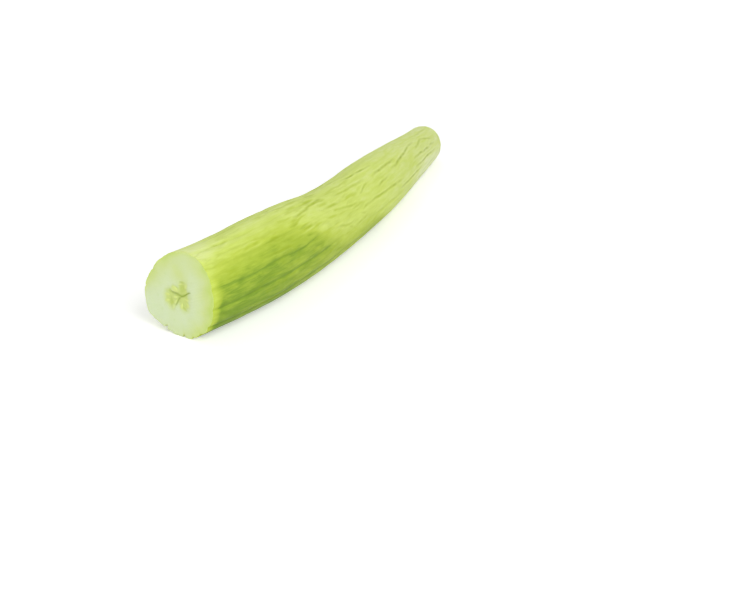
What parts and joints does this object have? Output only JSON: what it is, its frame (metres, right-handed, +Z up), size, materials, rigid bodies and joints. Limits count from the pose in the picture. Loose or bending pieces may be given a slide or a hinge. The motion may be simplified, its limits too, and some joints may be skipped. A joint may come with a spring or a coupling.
{
  "type": "cucumber",
  "caption": "Curved pale green snake cucumber with shallow ribs, cut across at one end and round at the other, lying on its side.",
  "frame": {"origin": "bottom centre of the bounding box, on the surface that it lies on", "axes": "+Z up, +Y from the cut end towards the round tip, +X towards the outer side of the bend"},
  "size_m": [0.055, 0.2736, 0.0423],
  "materials": {
    "cucumber": "satin"
  },
  "bodies": {
    "root": {"cucumber": "cucumber"}
  },
  "joints": []
}
